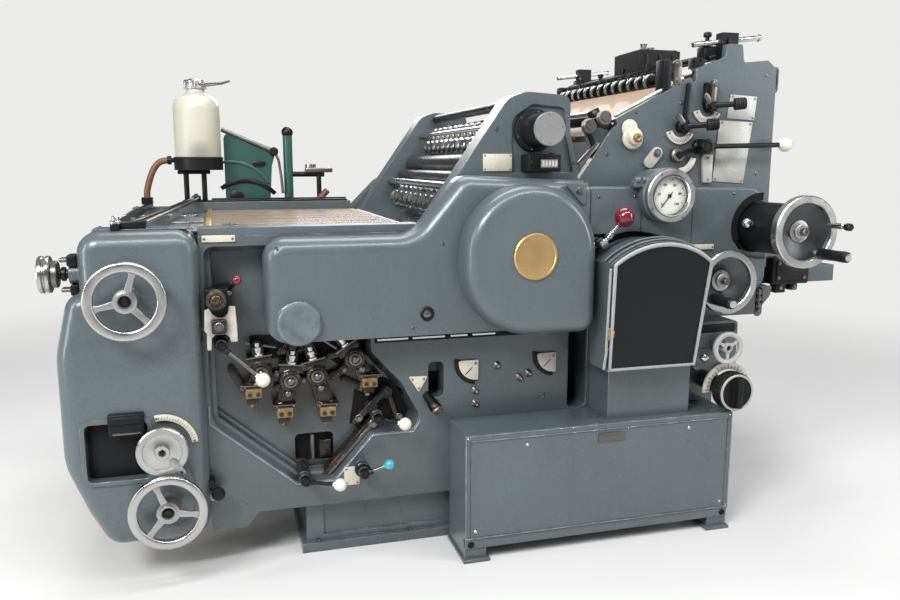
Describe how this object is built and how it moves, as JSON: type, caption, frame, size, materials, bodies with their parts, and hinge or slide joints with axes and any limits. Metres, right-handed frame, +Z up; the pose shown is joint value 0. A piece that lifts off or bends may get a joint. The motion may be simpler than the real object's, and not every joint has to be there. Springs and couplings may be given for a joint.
{
  "type": "offset printing press",
  "caption": "Small sheet-fed offset press: cast side frames, delivery and feeder ends, ink unit, side covers, handwheels, cranks and ball levers.",
  "frame": {"origin": "on the floor under the base casting, on the machine's centre plane", "axes": "+X towards the feeder end, -Y towards the operator, +Z up"},
  "size_m": [2.24, 1.525, 1.42],
  "materials": {
    "blue_enamel": "satin blue-grey machine enamel, worn bright along the edges",
    "black_enamel": "black stove enamel, satin",
    "cast_aluminium": "turned and polished cast aluminium with dull marks",
    "bright_steel": "ground bright steel",
    "roller_steel": "dark oiled steel and rubber rollers",
    "bearing_brass": "oily brass bearing blocks",
    "board_wood": "varnished tan board",
    "red_ball": "gloss red ball on a bright steel rod",
    "white_ball": "gloss white ball on a bright steel rod",
    "blue_ball": "gloss blue ball on a bright steel rod",
    "bottle_plastic": "milky cream plastic",
    "green_enamel": "teal-green casting paint",
    "hose_rubber": "brown rubber hose"
  },
  "bodies": {
    "press": {"base": "blue_enamel", "bottle_stand": "black_enamel", "cabinet_body": "blue_enamel", "cabinet_feet": "blue_enamel", "cabinet_panel": "blue_enamel", "control_box": "blue_enamel", "crank_drum": "black_enamel", "cylinders": "roller_steel", "delivery_bar": "black_enamel", "delivery_board": "board_wood", "delivery_end_plate": "bright_steel", "delivery_housing_drive": "blue_enamel", "delivery_housing_operator": "blue_enamel", "delivery_linkage": "black_enamel", "delivery_pile_board": "board_wood", "delivery_rails": "blue_enamel", "delivery_table": "bright_steel", "drive_frame": "blue_enamel", "drive_guard": "blue_enamel", "feed_board": "board_wood", "feed_cross_roller": "black_enamel", "feed_wheels": "bright_steel", "feeder_casing": "blue_enamel", "feeder_controls": "bright_steel", "feeder_frame_drive": "blue_enamel", "feeder_frame_operator": "blue_enamel", "feeder_head": "black_enamel", "feeder_table": "blue_enamel", "front_cover": "blue_enamel", "gear_cover": "blue_enamel", "hose": "hose_rubber", "ink_controls": "black_enamel", "ink_frame_drive": "blue_enamel", "ink_frame_operator": "blue_enamel", "ink_rollers": "roller_steel", "ink_ties": "bright_steel", "operator_frame": "blue_enamel", "panel_plate": "black_enamel", "pump_housing": "blue_enamel", "right_bracket": "blue_enamel", "roller_sockets": "bearing_brass", "spray_bottle": "bottle_plastic", "spray_casting": "green_enamel", "throw_off_yoke": "black_enamel"},
    "delivery_handwheel": {"delivery_handwheel": "cast_aluminium"},
    "pile_handwheel": {"pile_handwheel": "cast_aluminium"},
    "delivery_dial": {"delivery_dial": "cast_aluminium"},
    "end_knob": {"end_knob": "bright_steel"},
    "main_lever": {"main_lever": "red_ball"},
    "feed_crank_upper": {"feed_crank_upper": "cast_aluminium"},
    "feed_crank_lower": {"feed_crank_lower": "cast_aluminium"},
    "small_handwheel": {"small_handwheel": "cast_aluminium"},
    "regulator_knob": {"regulator_knob": "black_enamel"},
    "throw_off_lever": {"throw_off_lever": "white_ball"},
    "form_lever": {"form_lever": "white_ball"},
    "damper_lever": {"damper_lever": "white_ball"},
    "blue_lever": {"blue_lever": "blue_ball"},
    "feeder_lever": {"feeder_lever": "white_ball"}
  },
  "joints": [
    {"name": "delivery_handwheel_turn", "type": "hinge", "parent": "press", "child": "delivery_handwheel", "pos_m": [-0.784, -0.652, 0.738], "axis": [0, 1, 0], "continuous": true},
    {"name": "pile_handwheel_turn", "type": "hinge", "parent": "press", "child": "pile_handwheel", "pos_m": [-0.718, -0.652, 0.222], "axis": [0, 1, 0], "continuous": true},
    {"name": "delivery_dial_turn", "type": "hinge", "parent": "press", "child": "delivery_dial", "pos_m": [-0.725, -0.62, 0.367], "axis": [0, 1, 0], "range_deg": [-150, 150]},
    {"name": "end_knob_turn", "type": "hinge", "parent": "press", "child": "end_knob", "pos_m": [-0.96, -0.535, 0.792], "axis": [1, 0, 0], "continuous": true},
    {"name": "main_lever_swing", "type": "hinge", "parent": "press", "child": "main_lever", "pos_m": [0.408, -0.65, 0.838], "axis": [0, 1, 0], "range_deg": [-25, 15]},
    {"name": "feed_crank_upper_turn", "type": "hinge", "parent": "press", "child": "feed_crank_upper", "pos_m": [0.935, -0.75, 0.868], "axis": [0, 1, 0], "continuous": true},
    {"name": "feed_crank_lower_turn", "type": "hinge", "parent": "press", "child": "feed_crank_lower", "pos_m": [0.784, -0.65, 0.724], "axis": [0, 1, 0], "continuous": true},
    {"name": "small_handwheel_turn", "type": "hinge", "parent": "press", "child": "small_handwheel", "pos_m": [0.783, -0.69, 0.54], "axis": [0, 1, 0], "continuous": true},
    {"name": "regulator_knob_turn", "type": "hinge", "parent": "press", "child": "regulator_knob", "pos_m": [0.818, -0.665, 0.409], "axis": [0, 1, 0], "range_deg": [-135, 135]},
    {"name": "throw_off_lever_swing", "type": "hinge", "parent": "press", "child": "throw_off_lever", "pos_m": [-0.577, -0.588, 0.606], "axis": [0, 1, 0], "range_deg": [-18, 18]},
    {"name": "form_lever_swing", "type": "hinge", "parent": "press", "child": "form_lever", "pos_m": [-0.19, -0.588, 0.388], "axis": [0, 1, 0], "range_deg": [-20, 20]},
    {"name": "damper_lever_swing", "type": "hinge", "parent": "press", "child": "damper_lever", "pos_m": [-0.384, -0.588, 0.238], "axis": [0, 1, 0], "range_deg": [-15, 15]},
    {"name": "blue_lever_swing", "type": "hinge", "parent": "press", "child": "blue_lever", "pos_m": [-0.23, -0.588, 0.242], "axis": [0, 1, 0], "range_deg": [-25, 25]},
    {"name": "feeder_lever_swing", "type": "hinge", "parent": "press", "child": "feeder_lever", "pos_m": [0.762, -0.554, 1.096], "axis": [0, 1, 0], "range_deg": [-12, 12]}
  ]
}
